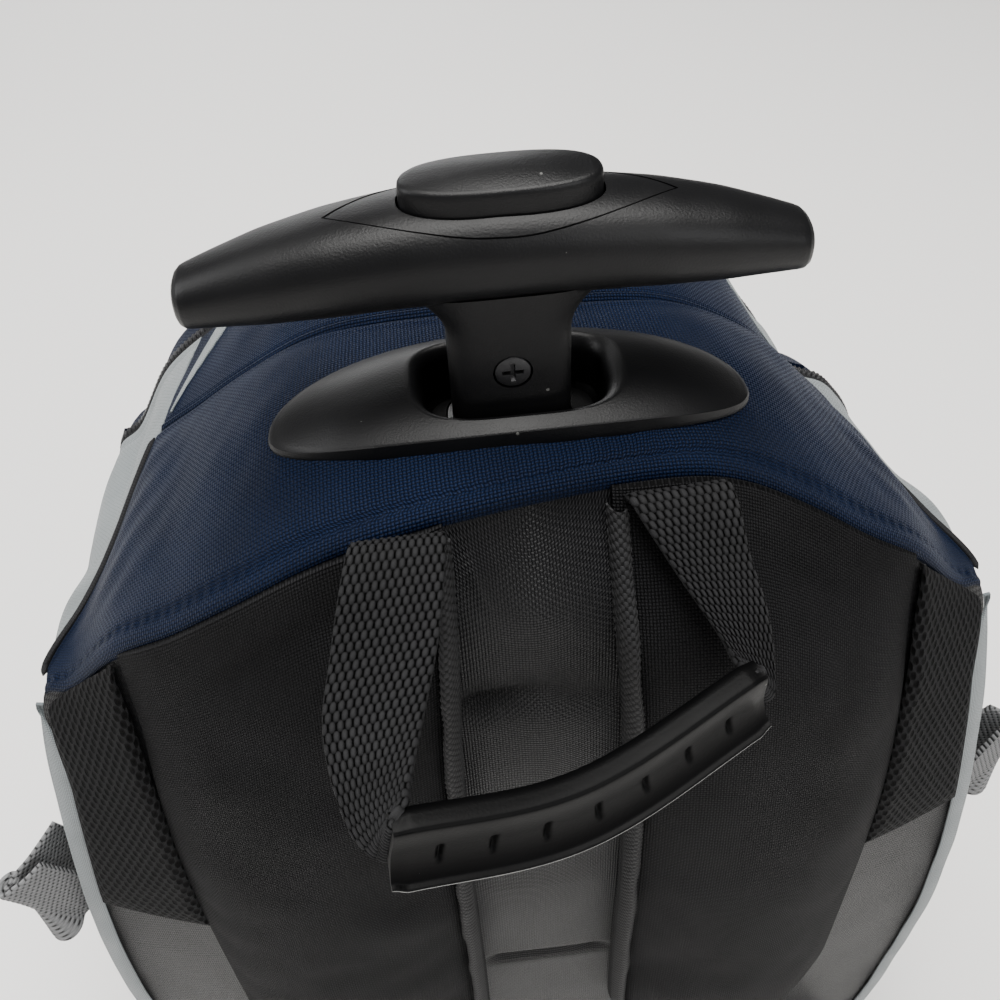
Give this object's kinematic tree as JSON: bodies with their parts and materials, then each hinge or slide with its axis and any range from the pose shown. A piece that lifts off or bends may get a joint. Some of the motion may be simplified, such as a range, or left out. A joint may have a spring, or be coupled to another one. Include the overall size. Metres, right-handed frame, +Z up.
{
  "type": "wheeled backpack",
  "caption": "Soft backpack with padded shoulder straps, a carry handle, two wheels and a telescopic pull handle with a T-shaped grip and release button.",
  "frame": {"origin": "middle of the footprint, on the surface that the wheels and feet stand on", "axes": "+Z up, +Y to the bag's front, -Y to the wearer's back, +X to the right when the back with its straps is looked at"},
  "size_m": [0.356, 0.276, 0.5073],
  "materials": {
    "plastic": "fine-grained moulded plastic, satin where touched",
    "steel": "black zinc plated",
    "aluminium": "brushed and anodised",
    "navy_cloth": "coarse navy polyester weave with a slight sheen",
    "grey_cloth": "light grey polyester weave",
    "back_nylon": "smooth shiny black nylon over foam",
    "black_cloth": "matt black polyester weave",
    "spacer_mesh": "knitted spacer mesh with round holes",
    "webbing": "black ribbed webbing",
    "loop_webbing": "black and white woven webbing",
    "rubber": "matt black rubber"
  },
  "bodies": {
    "root": {"bezel": "plastic", "grab_grip": "plastic", "base_tray": "plastic", "ladder_lock_left": "plastic", "ladder_lock_right": "plastic", "wheel_housing_left": "plastic", "wheel_housing_right": "plastic", "zip_slider_left": "steel", "zip_slider_right": "steel", "axle_left": "steel", "axle_right": "steel", "outer_tube": "aluminium", "top_panel": "navy_cloth", "front_gusset": "navy_cloth", "front_panel": "navy_cloth", "front_pocket": "navy_cloth", "side_panel_left": "grey_cloth", "side_panel_right": "grey_cloth", "back_panel": "back_nylon", "main_zip": "black_cloth", "piping_left": "black_cloth", "piping_right": "black_cloth", "shoulder_strap_left": "black_cloth", "shoulder_strap_right": "black_cloth", "side_pocket_left": "black_cloth", "side_pocket_right": "black_cloth", "mesh_pad_left": "spacer_mesh", "mesh_pad_right": "spacer_mesh", "strap_binding_left": "webbing", "strap_binding_right": "webbing", "strap_webbing_left": "webbing", "strap_webbing_right": "webbing", "grab_webbing_left": "webbing", "grab_webbing_right": "webbing", "side_loop_left": "loop_webbing", "side_loop_right": "loop_webbing", "foot_left": "rubber", "foot_right": "rubber"},
    "middle": {"middle_tube": "aluminium"},
    "handle": {"inner_tube": "aluminium", "handle_grip": "plastic", "grip_insert": "plastic", "stem_screw": "steel"},
    "button": {"push_button": "plastic"},
    "wheel_left": {"wheel_left": "rubber"},
    "wheel_right": {"wheel_right": "rubber"}
  },
  "joints": [
    {"name": "middle_slide", "type": "slide", "parent": "root", "child": "middle", "axis": [0, 0, 1], "range_m": [0, 0.26]},
    {"name": "handle_slide", "type": "slide", "parent": "middle", "child": "handle", "axis": [0, 0, 1], "range_m": [0, 0.26]},
    {"name": "button_press", "type": "slide", "parent": "handle", "child": "button", "axis": [0, 0, -1], "range_m": [0, 0.003], "stiffness_N_per_m": 400, "springref_m": -0.003},
    {"name": "wheel_left_spin", "type": "hinge", "parent": "root", "child": "wheel_left", "pos_m": [-0.127, -0.07744, 0.029], "axis": [1, 0, 0], "continuous": true},
    {"name": "wheel_right_spin", "type": "hinge", "parent": "root", "child": "wheel_right", "pos_m": [0.127, -0.07744, 0.029], "axis": [1, 0, 0], "continuous": true}
  ]
}
